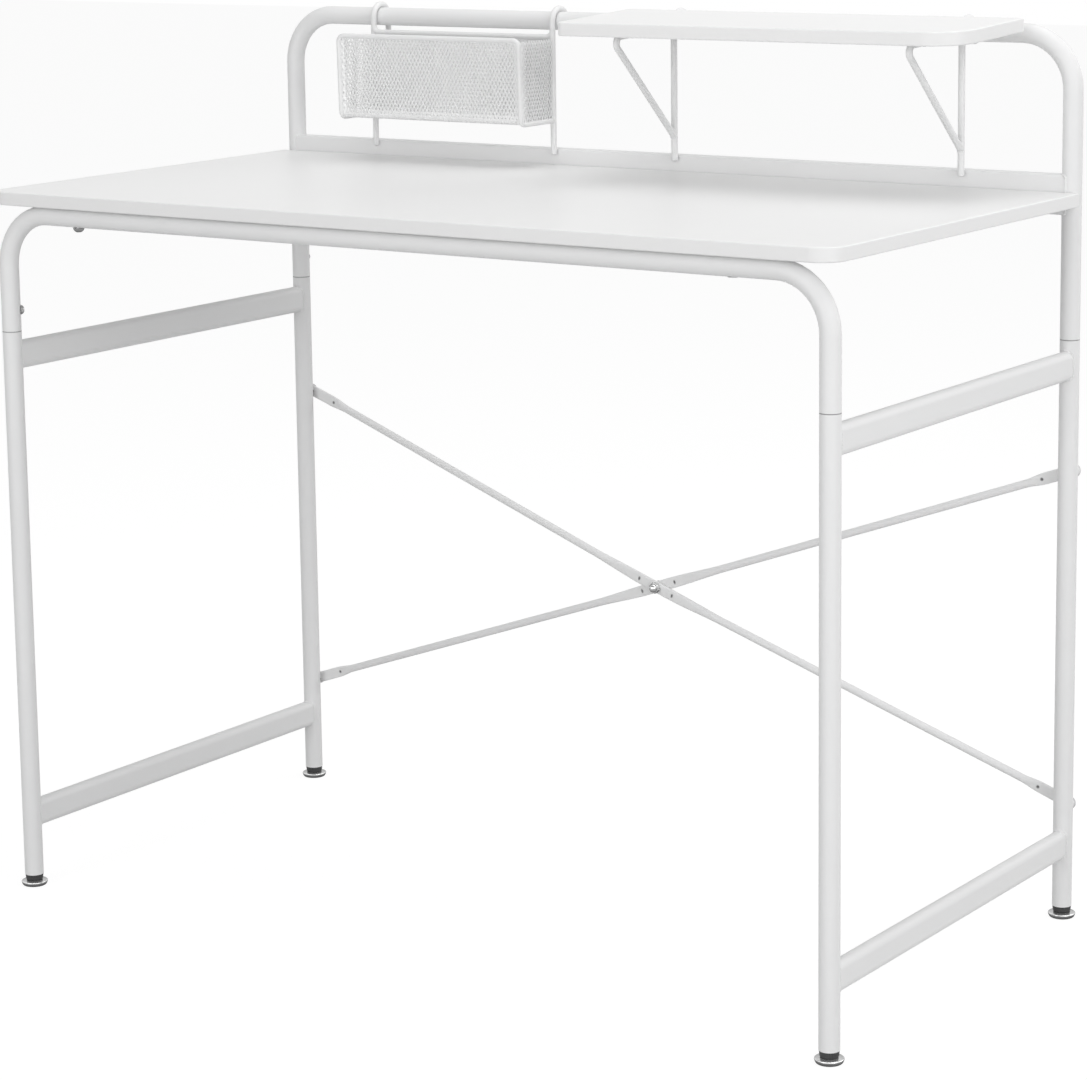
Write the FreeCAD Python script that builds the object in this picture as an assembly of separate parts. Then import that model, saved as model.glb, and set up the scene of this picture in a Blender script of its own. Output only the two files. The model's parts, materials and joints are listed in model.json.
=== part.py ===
import FreeCAD, Part
import math
import os

# Student desk with a hutch: steel tube frame, white board top, hanging basket and hanging shelf.
# Millimetres. X runs to the right, Y to the back, Z up; the floor is Z = 0 and
# the origin lies on the floor midway between the four legs.

# Frame tube
tube_d = 20.0
tube_wall = 1.2
leg_span_x = 978.0
leg_span_y = 486.0
bend_radius = 55.0
seam_height = 602.0
hutch_height = 915.5
seam_chamfer = 0.8
weld_gap = 0.05

# Desk board
desk_height = 750.0
desk_thickness = 14.0
desk_side_overhang = 12.5
desk_front_overhang = 17.3
desk_corner_radius = 25.0
desk_rear_clearance = 0.3
board_edge_round = 1.5

# Joint sleeves inside the leg seams, and their screws
sleeve_length = 80.0
sleeve_wall = 1.5
sleeve_clearance = 0.1
seam_screw_rise = 22.0
seam_screw_head_d = 10.5
seam_screw_head_height = 3.8
seam_screw_d = 4.0
seam_screw_length = 6.0
front_screw_angle = 45.0
rear_screw_angle = 90.0

# Flat oval side rails
rail_height = 30.0
rail_width = 15.0
rail_wall = 1.2
upper_rail_height = 576.0
lower_rail_height = 78.7

# Back bar and the tabs under the rear edge of the desk board
bar_height = 40.0
bar_depth = 19.2
bar_wall = 1.5
bar_corner_radius = 2.5
bar_rise = 17.0
tab_width = 40.0
tab_length = 30.0
tab_thickness = 3.0
tab_place_share = 0.6544
tab_screw_setback = 12.0
board_screw_d = 4.0
board_screw_depth = 10.0
board_screw_head_d = 8.0
board_screw_head_height = 3.0
hole_clearance = 0.1
seat_gap = 0.05

# Bolts that hold the front edge of the desk board
front_bolt_inset = 99.0
bolt_d = 6.0
front_bolt_head_d = 12.0
front_bolt_head_height = 5.0
front_bolt_depth = 10.0
flush_head_d = 11.0
flush_head_height = 2.5

# Cross brace: its flat ends lie behind the rear legs, the crossing bows forward
brace_d = 8.0
brace_flat_width = 13.0
brace_flat_thickness = 4.0
brace_flat_length = 35.0
brace_centre_length = 50.0
brace_crimp_length = 8.0
flat_end_round_share = 0.98
brace_bow = 15.0
brace_sag = 1.8
brace_top_height = 465.8
brace_bottom_height = 117.7
brace_head_d = 13.0
brace_head_height = 1.9
insert_flange_d = 10.0
insert_flange_thickness = 1.2
insert_d = 8.6
insert_length = 7.0
cap_nut_width = 11.0
cap_nut_base = 5.0
cap_nut_dome_d = 9.5
cap_nut_dome_height = 4.5
centre_head_height = 3.5

# Levelling feet
disc_d = 28.0
disc_height = 6.0
disc_bore_floor = 2.0
foot_gap = 0.2
collar_height = 6.1
collar_top_d = 19.7
collar_bottom_d = 17.3
plug_length = 22.0
stem_d = 8.0
stem_length = 28.0
stem_clearance = 0.05
disc_outline_shares = (
    (0.0, 0.0), (0.9, 0.0), (1.0, 0.16), (1.0, 0.4), (0.94, 0.6),
    (0.82, 0.78), (0.66, 0.92), (0.5, 1.0), (0.0, 1.0),
)

# Hanging shelf
rod_d = 7.0
hook_gap = 0.3
hook_tail_drop = 12.0
post_overlap = 5.0
shelf_place_share = 0.2137
shelf_width = 464.0
shelf_depth = 140.0
shelf_thickness = 14.0
shelf_corner_radius = 40.0
shelf_left_radius = 8.0
shelf_slope = 2.8
shelf_rear_gap = 0.7
bracket_inset_left = 54.0
bracket_inset_right = 70.0
strut_foot_rise = 25.0
strut_reach = 122.0
strut_run_drop = 1.5
strut_bend_radius = 7.0
shelf_screw_d = 3.5
shelf_screw_head_d = 6.5
shelf_screw_head_height = 1.0
shelf_screw_depth = 9.0
shelf_screw_setbacks = (26.0, 76.0)

# Hanging basket
basket_place_share = 0.2418
basket_span = 242.6
basket_rod_d = 6.5
basket_wire_d = 5.5
basket_wire_bend = 7.0
basket_tail_drop = 16.0
basket_rim_drop = 17.1
basket_rim_bend = 8.0
basket_depth_top = 65.0
basket_depth_bottom = 62.5
basket_top_drop = 17.1
basket_height = 90.4
basket_side_drop = 17.6
mesh_thickness = 1.0
mesh_gap = 0.2
mesh_cell_width = 9.6
mesh_cell_height = 16.8
mesh_strand = 1.6
mesh_border = 1.2

# One overrun serves every cut that has to pass right through; points closer than same_point are one
overrun = 2.0
same_point = 0.000001

# Places and sizes that follow from the values above
tube_r = tube_d / 2
bore_r = tube_r - tube_wall
leg_x = leg_span_x / 2
leg_y = leg_span_y / 2
desk_half = leg_x + desk_side_overhang
front_bolt_x = leg_x - front_bolt_inset
tab_spacing = leg_x * tab_place_share
desk_bottom = desk_height - desk_thickness
front_rail_z = desk_bottom - tube_r
rear_rail_z = hutch_height - tube_r
leg_bottom = disc_height + foot_gap + collar_height
desk_front = -leg_y - desk_front_overhang
desk_rear = leg_y - tube_r - desk_rear_clearance
bar_top = desk_height + bar_rise
bar_front = leg_y - bar_depth / 2
screw_z = seam_height + seam_screw_rise
rod_r = rod_d / 2
post_y = leg_y - tube_r - hook_gap - rod_r
post_bottom = bar_top - post_overlap
run_z = rear_rail_z - strut_run_drop
shelf_bottom = run_z + rod_r + seat_gap
shelf_rear = post_y - rod_r - shelf_rear_gap
rail_half = leg_x - bend_radius
bracket_span = shelf_width - bracket_inset_left - bracket_inset_right
rail_spare = 2 * rail_half - basket_span - bracket_span
basket_left = -rail_half + rail_spare * basket_place_share
shelf_right = rail_half - rail_spare * shelf_place_share + bracket_inset_right
shelf_left = shelf_right - shelf_width
bracket_places = {
    "left": shelf_left + bracket_inset_left,
    "right": shelf_right - bracket_inset_right,
}
corners = {
    "front_left": (-1, -1),
    "front_right": (1, -1),
    "rear_left": (-1, 1),
    "rear_right": (1, 1),
}
sides = {"left": -1, "right": 1}

vec = FreeCAD.Vector
along_x = vec(1, 0, 0)
along_y = vec(0, 1, 0)
along_z = vec(0, 0, 1)


def unit(direction):
    return vec(direction).normalize()


def cylinder(radius, start, end):
    axis = end - start
    return Part.makeCylinder(radius, axis.Length, start, axis)


def block(low, high):
    size = high - low
    return Part.makeBox(size.x, size.y, size.z, low)


def rounded_edges(points, radii, closed):
    # straight runs joined by tangent arcs; a radius of zero leaves a sharp corner
    count = len(points)
    ends = []
    for index, corner in enumerate(points):
        inner = closed or 0 < index < count - 1
        if not inner or radii[index] == 0:
            ends.append((corner, None, corner))
            continue
        back = unit(points[index - 1] - corner)
        ahead = unit(points[(index + 1) % count] - corner)
        half = back.getAngle(ahead) / 2
        reach = radii[index] / math.tan(half)
        inward = unit(back + ahead)
        middle = corner + inward * (radii[index] / math.sin(half) - radii[index])
        ends.append((corner + back * reach, middle, corner + ahead * reach))
    edges = []
    for index, (start, middle, end) in enumerate(ends):
        if middle is not None:
            edges.append(Part.Arc(start, middle, end).toShape())
        if index == count - 1 and not closed:
            break
        following = ends[(index + 1) % count][0]
        if not following.isEqual(end, same_point):
            edges.append(Part.LineSegment(end, following).toShape())
    return edges


def outline(points, radii):
    return Part.Wire(rounded_edges(points, radii, True))


def plate(points, radii, thickness):
    return Part.Face(outline(points, radii)).extrude(thickness)


def swept(points, radii, radius):
    path = Part.Wire(rounded_edges(points, radii, False))
    section = Part.Wire(Part.makeCircle(radius, points[0], points[1] - points[0]))
    return Part.Solid(path.makePipeShell([section], True, False))


def dome(base, axis, radius, height):
    ball = (radius ** 2 + height ** 2) / (2 * height)
    rise = ball - height
    latitude = math.degrees(math.asin(rise / ball))
    return Part.makeSphere(ball, base - unit(axis) * rise, unit(axis), latitude, 90, 360)


def hexagon(base, axis, width, height, flat_towards):
    across = unit(axis).cross(unit(flat_towards))
    corner_r = width / math.sqrt(3)
    points = []
    for step in range(6):
        angle = math.radians(30 + 60 * step)
        flatwise = unit(flat_towards) * math.cos(angle)
        points.append(base + (flatwise + across * math.sin(angle)) * corner_r)
    return plate(points, [0] * 6, unit(axis) * height)


def turned(profile):
    points = [vec(radius, 0, height) for radius, height in profile]
    face = Part.Face(outline(points, [0] * len(points)))
    return face.revolve(vec(0, 0, 0), along_z, 360)


def moved(shape, offset):
    copy = shape.copy()
    copy.translate(offset)
    return copy


def round_level_edges(solid, radius):
    level = [edge for edge in solid.Edges if edge.BoundBox.ZLength < radius / 2]
    return solid.makeFillet(radius, level)


def leg_axis(corner, low, high, radius):
    side, place = corners[corner]
    return cylinder(radius, vec(side * leg_x, place * leg_y, low), vec(side * leg_x, place * leg_y, high))


def screw_direction(corner):
    side, place = corners[corner]
    turn = math.radians(front_screw_angle if place < 0 else rear_screw_angle)
    return vec(-side * math.cos(turn), math.sin(turn), 0)


# Upper frames: two bent tubes
def frame_tube(y, top):
    points = [
        vec(-leg_x, y, seam_height),
        vec(-leg_x, y, top),
        vec(leg_x, y, top),
        vec(leg_x, y, seam_height),
    ]
    radii = [0, bend_radius, bend_radius, 0]
    return swept(points, radii, tube_r).cut(swept(points, radii, bore_r))


def seam_screw(corner):
    side, place = corners[corner]
    out = screw_direction(corner)
    seat = vec(side * leg_x, place * leg_y, screw_z) + out * (tube_r + seat_gap)
    shank = cylinder(seam_screw_d / 2, seat - out * seam_screw_length, seat)
    head = dome(seat, out, seam_screw_head_d / 2, seam_screw_head_height)
    return shank.fuse(head).removeSplitter()


def seam_screw_hole(corner):
    side, place = corners[corner]
    out = screw_direction(corner)
    axis = vec(side * leg_x, place * leg_y, screw_z)
    return cylinder(seam_screw_d / 2 + hole_clearance, axis, axis + out * (tube_r + overrun))


def front_bolt_hole(side):
    low = vec(side * front_bolt_x, -leg_y, front_rail_z - tube_r - overrun)
    high = vec(side * front_bolt_x, -leg_y, desk_bottom + front_bolt_depth + hole_clearance)
    return cylinder(bolt_d / 2 + hole_clearance, low, high)


def flush_head(growth):
    base = vec(front_bolt_x, -leg_y, front_rail_z - tube_r + seat_gap - growth)
    wide = flush_head_d / 2 + growth
    narrow = bolt_d / 2 + growth
    return Part.makeCone(wide, narrow, flush_head_height + growth, base, along_z)


front_frame = frame_tube(-leg_y, front_rail_z)
rear_frame = frame_tube(leg_y, rear_rail_z)
for corner, (side, place) in corners.items():
    if place < 0:
        front_frame = front_frame.cut(seam_screw_hole(corner)).cut(front_bolt_hole(side))
    else:
        rear_frame = rear_frame.cut(seam_screw_hole(corner))
front_frame = front_frame.cut(flush_head(hole_clearance))

nodes = {
    "front_frame_tube": front_frame,
    "rear_frame_tube": rear_frame,
}

# Lower legs, joint sleeves and seam screws
brace_heights = (brace_top_height, brace_bottom_height)
for corner, (side, place) in corners.items():
    leg = leg_axis(corner, leg_bottom, seam_height, tube_r)
    shoulder = [edge for edge in leg.Edges if edge.BoundBox.ZMin > seam_height - seam_chamfer]
    leg = leg.makeFillet(seam_chamfer, shoulder)
    leg = leg.cut(leg_axis(corner, leg_bottom - overrun, seam_height + overrun, bore_r))
    if place > 0:
        for height in brace_heights:
            start = vec(side * leg_x, leg_y, height)
            end = vec(side * leg_x, leg_y + tube_r + overrun, height)
            leg = leg.cut(cylinder(insert_d / 2 + hole_clearance, start, end))
    nodes["leg_" + corner] = leg
    low = seam_height - sleeve_length / 2
    high = seam_height + sleeve_length / 2
    sleeve_r = bore_r - sleeve_clearance
    sleeve = leg_axis(corner, low, high, sleeve_r)
    sleeve = sleeve.cut(leg_axis(corner, low - overrun, high + overrun, sleeve_r - sleeve_wall))
    nodes["joint_sleeve_" + corner] = sleeve.cut(seam_screw_hole(corner))
nodes["joint_screws"] = Part.makeCompound([seam_screw(corner) for corner in corners])


# Flat oval side rails, notched to the legs
def oval_bar(x, z, width, height):
    r = width / 2
    points = [
        vec(x - r, -leg_y, z - height / 2),
        vec(x + r, -leg_y, z - height / 2),
        vec(x + r, -leg_y, z + height / 2),
        vec(x - r, -leg_y, z + height / 2),
    ]
    left_low, right_low, right_high, left_high = points
    lift = along_z * r
    edges = [
        Part.Arc(left_low + lift, (left_low + right_low) * 0.5, right_low + lift).toShape(),
        Part.LineSegment(right_low + lift, right_high - lift).toShape(),
        Part.Arc(right_high - lift, (left_high + right_high) * 0.5, left_high - lift).toShape(),
        Part.LineSegment(left_high - lift, left_low + lift).toShape(),
    ]
    return Part.Face(Part.Wire(edges)).extrude(along_y * leg_span_y)


for level, rail_z in (("upper", upper_rail_height), ("lower", lower_rail_height)):
    for side_name, side in sides.items():
        rail = oval_bar(side * leg_x, rail_z, rail_width, rail_height)
        bore_width = rail_width - 2 * rail_wall
        bore_height = rail_height - 2 * rail_wall
        rail = rail.cut(oval_bar(side * leg_x, rail_z, bore_width, bore_height))
        for place_name in ("front", "rear"):
            corner = place_name + "_" + side_name
            rail = rail.cut(leg_axis(corner, rail_z - rail_height, rail_z + rail_height, tube_r + weld_gap))
        nodes["side_rail_" + level + "_" + side_name] = rail


# Back bar between the rear uprights
def bar_prism(inset, corner_radius):
    front = bar_front + inset
    rear = bar_front + bar_depth - inset
    low = bar_top - bar_height + inset
    high = bar_top - inset
    points = [
        vec(-leg_x, front, low),
        vec(-leg_x, rear, low),
        vec(-leg_x, rear, high),
        vec(-leg_x, front, high),
    ]
    return plate(points, [corner_radius] * 4, along_x * leg_span_x)


bar = bar_prism(0, bar_corner_radius).cut(bar_prism(bar_wall, bar_corner_radius - bar_wall))
for side_name in sides:
    bar = bar.cut(leg_axis("rear_" + side_name, seam_height, hutch_height, tube_r + weld_gap))
nodes["back_bar"] = bar

# Tabs on the bar under the rear edge of the desk board, and their screws
tab_screws = []
tab_screw_holes = []
for tab_name, share in (("left", -1), ("middle", 0), ("right", 1)):
    x = share * tab_spacing
    low = vec(x - tab_width / 2, desk_rear - tab_length, desk_bottom - tab_thickness)
    high = vec(x + tab_width / 2, bar_front, desk_bottom)
    seat = vec(x, desk_rear - tab_length + tab_screw_setback, desk_bottom - tab_thickness - seat_gap)
    tip = vec(x, seat.y, desk_bottom + board_screw_depth)
    shank = cylinder(board_screw_d / 2, seat, tip)
    head = dome(seat, -along_z, board_screw_head_d / 2, board_screw_head_height)
    hole_r = board_screw_d / 2 + hole_clearance
    hole = cylinder(hole_r, seat - along_z * overrun, tip + along_z * hole_clearance)
    tab_screws.append(shank.fuse(head).removeSplitter())
    tab_screw_holes.append(hole)
    nodes["desk_support_tab_" + tab_name] = block(low, high).cut(hole)
nodes["desk_tab_screws"] = Part.makeCompound(tab_screws)

# Desk board
desk_points = [
    vec(-desk_half, desk_front, desk_bottom),
    vec(desk_half, desk_front, desk_bottom),
    vec(desk_half, desk_rear, desk_bottom),
    vec(-desk_half, desk_rear, desk_bottom),
]
desk_radii = [desk_corner_radius, desk_corner_radius, 0, 0]
desktop = plate(desk_points, desk_radii, along_z * desk_thickness)
desktop = round_level_edges(desktop, board_edge_round)
for hole in tab_screw_holes + [front_bolt_hole(side) for side in sides.values()]:
    desktop = desktop.cut(hole)
nodes["desktop"] = desktop

# Front bolts of the desk board: a domed head under the rail on the left, a flush head on the right
bolt_tip = desk_bottom + front_bolt_depth
dome_seat = vec(-front_bolt_x, -leg_y, front_rail_z - tube_r - seat_gap)
dome_bolt = cylinder(bolt_d / 2, dome_seat, vec(-front_bolt_x, -leg_y, bolt_tip))
dome_bolt = dome_bolt.fuse(dome(dome_seat, -along_z, front_bolt_head_d / 2, front_bolt_head_height))
flush_seat = vec(front_bolt_x, -leg_y, front_rail_z - tube_r + seat_gap)
flush_bolt = cylinder(bolt_d / 2, flush_seat, vec(front_bolt_x, -leg_y, bolt_tip)).fuse(flush_head(0))
nodes["desk_front_bolt_left"] = dome_bolt.removeSplitter()
nodes["desk_front_bolt_right"] = flush_bolt.removeSplitter()

# Cross brace: two rods flattened at the middle and at the ends
insert_seat_y = leg_y + tube_r + seat_gap
brace_end_plane = insert_seat_y + insert_flange_thickness + seat_gap + brace_flat_thickness / 2
brace_plane = brace_end_plane - brace_bow
brace_mid_z = (brace_top_height + brace_bottom_height) / 2 - brace_sag
flat_half = brace_flat_width / 2


def brace_flat(start, end):
    # flattened stretch with a round end where the rod runs into it
    forward = unit(end - start)
    across = along_y.cross(forward) * flat_half
    corners_of_flat = [start - across, end - across, end + across, start + across]
    back_off = along_y * (brace_flat_thickness / 2)
    points = [corner - back_off for corner in corners_of_flat]
    return plate(points, [flat_half * flat_end_round_share] * 4, along_y * brace_flat_thickness)


def brace_rod(side, y):
    top = vec(side * leg_x, brace_end_plane, brace_top_height)
    bottom = vec(-side * leg_x, brace_end_plane, brace_bottom_height)
    forward = unit(bottom - top)
    middle = vec(0, y, brace_mid_z)
    centre_half = forward * (brace_centre_length / 2)
    rod = brace_flat(middle - centre_half, middle + centre_half)
    for end, heading in ((top, forward), (bottom, -forward)):
        outer = end + heading * brace_flat_length
        inner = middle - heading * (brace_centre_length / 2)
        thin = brace_flat_thickness / 2
        run = unit(inner - outer)
        rod = rod.fuse(cylinder(brace_d / 2, outer, inner))
        rod = rod.fuse(Part.makeCone(brace_d / 2, thin, brace_crimp_length, outer, -run))
        rod = rod.fuse(Part.makeCone(brace_d / 2, thin, brace_crimp_length, inner, run))
        rod = rod.fuse(brace_flat(end - heading * flat_half, outer))
    through = along_y * brace_d
    for centre in (top, middle, bottom):
        rod = rod.cut(cylinder(bolt_d / 2 + hole_clearance, centre - through, centre + through))
    return rod.removeSplitter()


brace_front_y = brace_plane - brace_flat_thickness / 2
brace_rear_y = brace_plane + brace_flat_thickness / 2
nodes["brace_rod_front"] = brace_rod(-1, brace_front_y)
nodes["brace_rod_rear"] = brace_rod(1, brace_rear_y)

# Centre bolt with its cap nut in front
bolt_front = vec(0, brace_front_y - brace_flat_thickness / 2 - seat_gap, brace_mid_z)
bolt_rear = vec(0, brace_rear_y + brace_flat_thickness / 2 + seat_gap, brace_mid_z)
bolt_tip = bolt_front - along_y * (cap_nut_base - seat_gap)
centre_bolt = cylinder(bolt_d / 2, bolt_tip, bolt_rear)
centre_bolt = centre_bolt.fuse(dome(bolt_rear, along_y, brace_head_d / 2, centre_head_height))
nodes["brace_centre_bolt"] = centre_bolt.removeSplitter()
cap_nut = hexagon(bolt_front, -along_y, cap_nut_width, cap_nut_base, along_z)
cap_base = bolt_front - along_y * cap_nut_base
cap_nut = cap_nut.cut(cylinder(bolt_d / 2 + hole_clearance, bolt_tip, bolt_front + along_y * overrun))
cap_nut = cap_nut.fuse(dome(cap_base, -along_y, cap_nut_dome_d / 2, cap_nut_dome_height))
nodes["brace_cap_nut"] = cap_nut.removeSplitter()

# Bolts behind the rear legs, in rivet nuts set in the legs' back walls
end_bolts = []
end_nuts = []
for side in sides.values():
    for height in brace_heights:
        insert_seat = vec(side * leg_x, insert_seat_y, height)
        insert_end = insert_seat - along_y * insert_length
        insert = cylinder(insert_d / 2, insert_end, insert_seat)
        flange_top = insert_seat + along_y * insert_flange_thickness
        insert = insert.fuse(cylinder(insert_flange_d / 2, insert_seat, flange_top))
        bore = cylinder(bolt_d / 2 + hole_clearance, insert_end - along_y * overrun, flange_top + along_y * overrun)
        end_nuts.append(insert.cut(bore).removeSplitter())
        head_seat = vec(side * leg_x, brace_end_plane + brace_flat_thickness / 2 + seat_gap, height)
        head = dome(head_seat, along_y, brace_head_d / 2, brace_head_height)
        end_bolts.append(cylinder(bolt_d / 2, insert_end, head_seat).fuse(head).removeSplitter())
nodes["brace_end_bolts"] = Part.makeCompound(end_bolts)
nodes["brace_end_nuts"] = Part.makeCompound(end_nuts)

# Levelling feet: plastic insert in the tube, threaded stem and disc
collar_bottom = disc_height + foot_gap
plug_r = bore_r - sleeve_clearance
insert = turned([
    (0, collar_bottom),
    (collar_bottom_d / 2, collar_bottom),
    (collar_top_d / 2, leg_bottom),
    (plug_r, leg_bottom),
    (plug_r, leg_bottom + plug_length),
    (0, leg_bottom + plug_length),
])
insert = insert.cut(cylinder(stem_d / 2 + stem_clearance, vec(0, 0, collar_bottom - overrun),
                             vec(0, 0, leg_bottom + plug_length + overrun)))
stem_low = vec(0, 0, disc_bore_floor + stem_clearance)
stem = cylinder(stem_d / 2, stem_low, vec(0, 0, disc_bore_floor + stem_length))
disc_outline = []
for width_share, height_share in disc_outline_shares:
    disc_outline.append((width_share * disc_d / 2, height_share * disc_height))
disc_bore_r = stem_d / 2 + stem_clearance
disc_bore = cylinder(disc_bore_r, vec(0, 0, disc_bore_floor), vec(0, 0, disc_height + overrun))
disc = turned(disc_outline).cut(disc_bore)
for corner, (side, place) in corners.items():
    spot = vec(side * leg_x, place * leg_y, 0)
    nodes["leg_insert_" + corner] = moved(insert, spot)
    nodes["foot_stem_" + corner] = moved(stem, spot)
    nodes["foot_disc_" + corner] = moved(disc, spot)


# Hanging shelf: board, two hooked posts and two struts
def hook_points(x, front_y, rod_radius, tail_drop):
    reach = tube_r + hook_gap + rod_radius
    tail_y = leg_y + reach
    return [
        vec(x, front_y, rear_rail_z + reach),
        vec(x, tail_y, rear_rail_z + reach),
        vec(x, tail_y, rear_rail_z - tail_drop),
    ]


shelf_pivot = vec(0, shelf_rear, shelf_bottom)


def sloped(shape):
    # the board and what holds it fall towards the front
    copy = shape.copy()
    copy.rotate(shelf_pivot, along_x, shelf_slope)
    return copy


def sloped_point(point):
    return shelf_pivot + FreeCAD.Rotation(along_x, shelf_slope).multVec(point - shelf_pivot)


def shelf_screw_places():
    return [(x, shelf_rear - setback) for x in bracket_places.values() for setback in shelf_screw_setbacks]


shelf_points = [
    vec(shelf_left, shelf_rear - shelf_depth, shelf_bottom),
    vec(shelf_right, shelf_rear - shelf_depth, shelf_bottom),
    vec(shelf_right, shelf_rear, shelf_bottom),
    vec(shelf_left, shelf_rear, shelf_bottom),
]
shelf = plate(shelf_points, [shelf_left_radius, shelf_corner_radius, 0, 0], along_z * shelf_thickness)
shelf = round_level_edges(shelf, board_edge_round)
screw_seat_z = run_z - rod_r - seat_gap
shelf_screws = []
shelf_screw_holes = []
for x, y in shelf_screw_places():
    seat = vec(x, y, screw_seat_z)
    tip = vec(x, y, shelf_bottom + shelf_screw_depth)
    head = dome(seat, -along_z, shelf_screw_head_d / 2, shelf_screw_head_height)
    screw = cylinder(shelf_screw_d / 2, seat, tip).fuse(head).removeSplitter()
    shelf_screws.append(sloped(screw))
    hole_r = shelf_screw_d / 2 + hole_clearance
    hole = cylinder(hole_r, seat - along_z * overrun, tip + along_z * hole_clearance)
    shelf_screw_holes.append(sloped(hole))
shelf = sloped(shelf)
for hole in shelf_screw_holes:
    shelf = shelf.cut(hole)
nodes["shelf_board"] = shelf
nodes["shelf_screws"] = Part.makeCompound(shelf_screws)

hook_r = tube_r + hook_gap + rod_r
for side_name, x in bracket_places.items():
    foot = vec(x, post_y, post_bottom)
    post_points = [foot] + hook_points(x, post_y, rod_r, hook_tail_drop)
    nodes["bracket_post_" + side_name] = swept(post_points, [0, hook_r, hook_r, 0], rod_r)
    strut_points = [
        vec(x, post_y, post_bottom + strut_foot_rise),
        sloped_point(vec(x, post_y - strut_reach, run_z)),
        sloped_point(vec(x, post_y, run_z)),
    ]
    strut = swept(strut_points, [0, strut_bend_radius, 0], rod_r)
    strut = strut.cut(cylinder(rod_r + weld_gap, foot, vec(x, post_y, hutch_height)))
    for hole in shelf_screw_holes:
        strut = strut.cut(hole)
    nodes["bracket_strut_" + side_name] = strut

# Hanging basket: hook wire with the rear rim, two posts, the bent front wire and the mesh panels
basket_right = basket_left + basket_span
basket_rod_r = basket_rod_d / 2
wire_r = basket_wire_d / 2
basket_y = leg_y - tube_r - hook_gap - basket_rod_r
rim_z = rear_rail_z - basket_rim_drop
basket_top = rear_rail_z - basket_top_drop
basket_bottom = basket_top - basket_height
front_top = vec(0, basket_y - basket_depth_top, basket_top)
front_bottom = vec(0, basket_y - basket_depth_bottom, basket_bottom)
basket_hook_r = tube_r + hook_gap + basket_rod_r
basket_posts = {"left": basket_left, "right": basket_right}

left_hook = hook_points(basket_left, basket_y, basket_rod_r, basket_tail_drop)
right_hook = hook_points(basket_right, basket_y, basket_rod_r, basket_tail_drop)
rim_corners = [vec(basket_left, basket_y, rim_z), vec(basket_right, basket_y, rim_z)]
hook_wire_points = left_hook[::-1] + rim_corners + right_hook
hook_wire_radii = [0] + [basket_hook_r] * 2 + [basket_rim_bend] * 2 + [basket_hook_r] * 2 + [0]
nodes["basket_hook_wire"] = swept(hook_wire_points, hook_wire_radii, basket_rod_r)
hook_wire_room = swept(hook_wire_points, hook_wire_radii, basket_rod_r + weld_gap)

wire_points = [
    vec(basket_left, basket_y, basket_bottom),
    front_bottom + along_x * basket_left,
    front_top + along_x * basket_left,
    front_top + along_x * basket_right,
    front_bottom + along_x * basket_right,
    vec(basket_right, basket_y, basket_bottom),
]
wire_radii = [0] + [basket_wire_bend] * 4 + [0]
front_wire = swept(wire_points, wire_radii, wire_r)
for side_name, x in basket_posts.items():
    foot = vec(x, basket_y, post_bottom)
    post = cylinder(basket_rod_r, foot, vec(x, basket_y, rim_z + basket_rim_bend)).cut(hook_wire_room)
    nodes["basket_post_" + side_name] = max(post.Solids, key=lambda solid: solid.Volume)
    front_wire = front_wire.cut(cylinder(basket_rod_r + weld_gap, foot, vec(x, basket_y, rim_z)))
nodes["basket_front_wire"] = front_wire


def inside(point, polygon):
    # polygon runs anticlockwise; the point has to keep the border's width from every side
    for index, start in enumerate(polygon):
        end = polygon[(index + 1) % len(polygon)]
        run = (end[0] - start[0], end[1] - start[1])
        length = math.hypot(run[0], run[1])
        depth = (run[0] * (point[1] - start[1]) - run[1] * (point[0] - start[0])) / length
        if depth < mesh_border:
            return False
    return True


def mesh_panel(flat_corners, radii, origin, across, up):
    # one flat sheet with a diamond net of gaps; the corners are given in the sheet's own plane
    def place(point):
        return origin + across * point[0] + up * point[1]

    edges = rounded_edges([vec(u, v, 0) for u, v in flat_corners], radii, True)
    polygon = []
    for edge in edges:
        start = edge.valueAt(edge.FirstParameter)
        middle = edge.valueAt((edge.FirstParameter + edge.LastParameter) / 2)
        polygon.extend([(start.x, start.y), (middle.x, middle.y)])
    wires = [outline([place(corner) for corner in flat_corners], radii)]
    half_w = mesh_cell_width / 2
    half_h = mesh_cell_height / 2
    shrink = 1 - mesh_strand * math.hypot(half_w, half_h) / (2 * half_w * half_h)
    low_u = min(corner[0] for corner in flat_corners)
    high_u = max(corner[0] for corner in flat_corners)
    low_v = min(corner[1] for corner in flat_corners)
    high_v = max(corner[1] for corner in flat_corners)
    columns = int((high_u - low_u) / half_w)
    rows = int((high_v - low_v) / half_h)
    start_u = (low_u + high_u - columns * half_w) / 2
    start_v = (low_v + high_v - rows * half_h) / 2
    for row in range(rows + 1):
        for column in range(columns + 1):
            if (row + column) % 2:
                continue
            u = start_u + column * half_w
            v = start_v + row * half_h
            gap = [
                (u - half_w * shrink, v),
                (u, v - half_h * shrink),
                (u + half_w * shrink, v),
                (u, v + half_h * shrink),
            ]
            if all(inside(point, polygon) for point in gap):
                wires.append(Part.makePolygon([place(point) for point in gap + gap[:1]]))
    sheet = Part.makeFace(wires, "Part::FaceMakerBullseye")
    normal = across.cross(up)
    solid = sheet.extrude(normal * mesh_thickness)
    solid.translate(normal * (-mesh_thickness / 2))
    return solid, len(wires) - 1


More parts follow.
